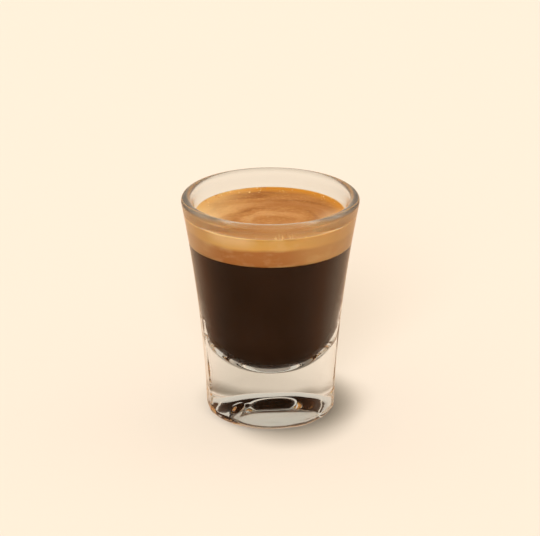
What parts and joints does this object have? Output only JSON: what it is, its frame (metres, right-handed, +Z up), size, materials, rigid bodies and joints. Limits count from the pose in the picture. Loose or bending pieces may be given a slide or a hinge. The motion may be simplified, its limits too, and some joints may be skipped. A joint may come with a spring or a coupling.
{
  "type": "espresso shot in a glass",
  "caption": "Espresso with a thick golden crema in a small clear glass with flaring walls and a heavy solid base.",
  "frame": {"origin": "centre of the foot, on the surface that the glass stands on", "axes": "+Z up along the axis that the glass is turned round; -Y is the side that faces the camera"},
  "size_m": [0.052, 0.052, 0.0668],
  "materials": {
    "glass": "clear pressed glass, fire-polished",
    "coffee": "near-black brown liquid, glossy",
    "crema": "fine golden-tan foam, satin"
  },
  "bodies": {
    "root": {"glass": "glass", "coffee": "coffee", "crema": "crema"}
  },
  "joints": []
}
